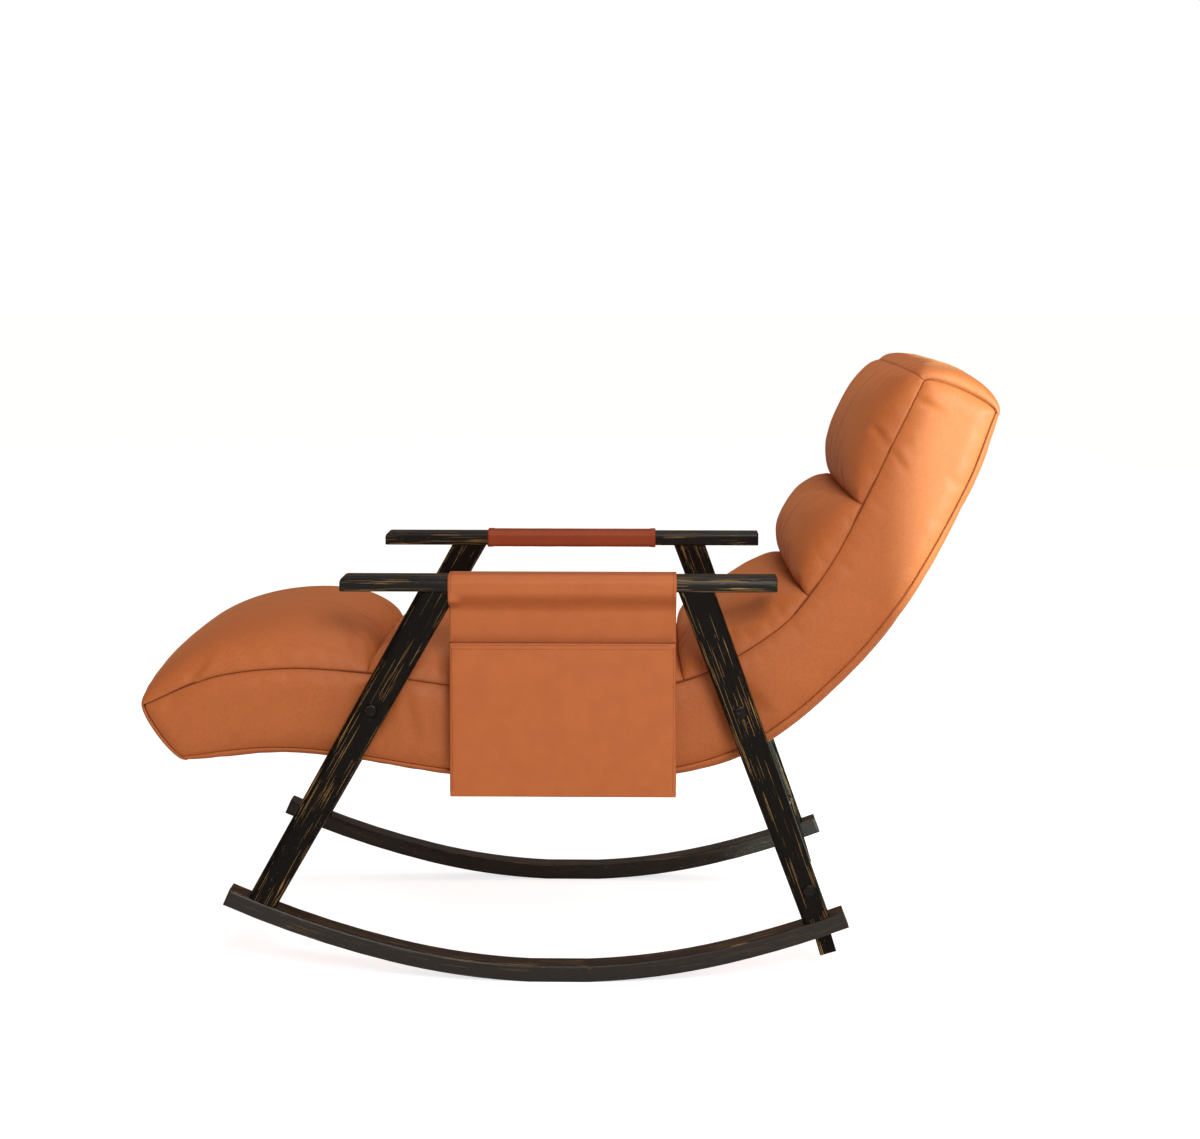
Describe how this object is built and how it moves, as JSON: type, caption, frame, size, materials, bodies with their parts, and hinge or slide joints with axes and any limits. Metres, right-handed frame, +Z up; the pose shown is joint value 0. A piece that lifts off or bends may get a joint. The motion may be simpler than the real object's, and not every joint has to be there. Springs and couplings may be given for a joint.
{
  "type": "rocking lounge chair",
  "caption": "Rocking lounge chair: a long padded body of fat cross rolls between bent-wood rocker frames with flat arms, a storage bag hung from an arm and a sleeve on the opposite arm.",
  "frame": {"origin": "middle of the bounding box, on the floor that the runners stand on", "axes": "+X from the foot end to the head end, +Y to the sitter's right, +Z up"},
  "size_m": [1.2748, 0.6456, 0.9118],
  "materials": {
    "black_wood": "black stained open-grain ash, satin, gold-brown showing in the grain",
    "wood_plug": "black stained wood plug, satin",
    "cover": "soft orange-brown coated upholstery cloth with a fine leather grain, over foam",
    "leather": "orange-brown leather, matt, stitched edges",
    "steel": "zinc plated fastener, brushed",
    "beech": "raw beech, sawn",
    "webbing": "woven elastic webbing",
    "foam": "open-cell polyurethane foam"
  },
  "bodies": {
    "chair": {"runner_left": "black_wood", "front_leg_left": "black_wood", "rear_leg_left": "black_wood", "arm_left": "black_wood", "runner_right": "black_wood", "front_leg_right": "black_wood", "rear_leg_right": "black_wood", "arm_right": "black_wood", "side_panel_left": "cover", "side_rail_left": "beech", "side_panel_right": "cover", "side_rail_right": "beech", "cross_board_1": "beech", "cross_board_2": "beech", "cross_board_3": "beech", "cross_board_4": "beech", "cross_board_5": "beech", "webbing_1": "webbing", "webbing_2": "webbing", "webbing_3": "webbing", "webbing_4": "webbing", "webbing_5": "webbing", "webbing_6": "webbing", "webbing_7": "webbing", "foam_layer": "foam", "foot_roll": "cover", "calf_roll": "cover", "seat_roll": "cover", "rear_seat_roll": "cover", "lumbar_roll": "cover", "head_roll": "cover", "back_cover": "cover", "head_end": "cover", "foot_end": "cover", "seat_bolt_front_left": "steel", "bolt_cap_front_left": "wood_plug", "spacer_front_left": "steel", "seat_bolt_rear_left": "steel", "bolt_cap_rear_left": "wood_plug", "spacer_rear_left": "steel", "seat_bolt_front_right": "steel", "bolt_cap_front_right": "wood_plug", "spacer_front_right": "steel", "seat_bolt_rear_right": "steel", "bolt_cap_rear_right": "wood_plug", "spacer_rear_right": "steel", "stop_bolt_left": "steel", "stop_cap_left": "wood_plug", "stop_nut_left": "steel", "stop_bolt_right": "steel", "stop_cap_right": "wood_plug", "stop_nut_right": "steel", "arm_sleeve": "leather", "bag_strap": "leather"},
    "stop_bar_left": {"stop_bar_left": "black_wood"},
    "stop_bar_right": {"stop_bar_right": "black_wood"},
    "bag": {"bag_pocket": "leather"}
  },
  "joints": [
    {"name": "stop_bar_left_swing", "type": "hinge", "parent": "chair", "child": "stop_bar_left", "pos_m": [0.3612, -0.2657, 0.1411], "axis": [0, 1, 0], "range_deg": [0, 176]},
    {"name": "stop_bar_right_swing", "type": "hinge", "parent": "chair", "child": "stop_bar_right", "pos_m": [0.3612, 0.2657, 0.1411], "axis": [0, 1, 0], "range_deg": [0, 176]},
    {"name": "bag_swing", "type": "hinge", "parent": "chair", "child": "bag", "pos_m": [-0.002, -0.295, 0.5483], "axis": [-1, 0, 0], "range_deg": [-4, 60]}
  ]
}
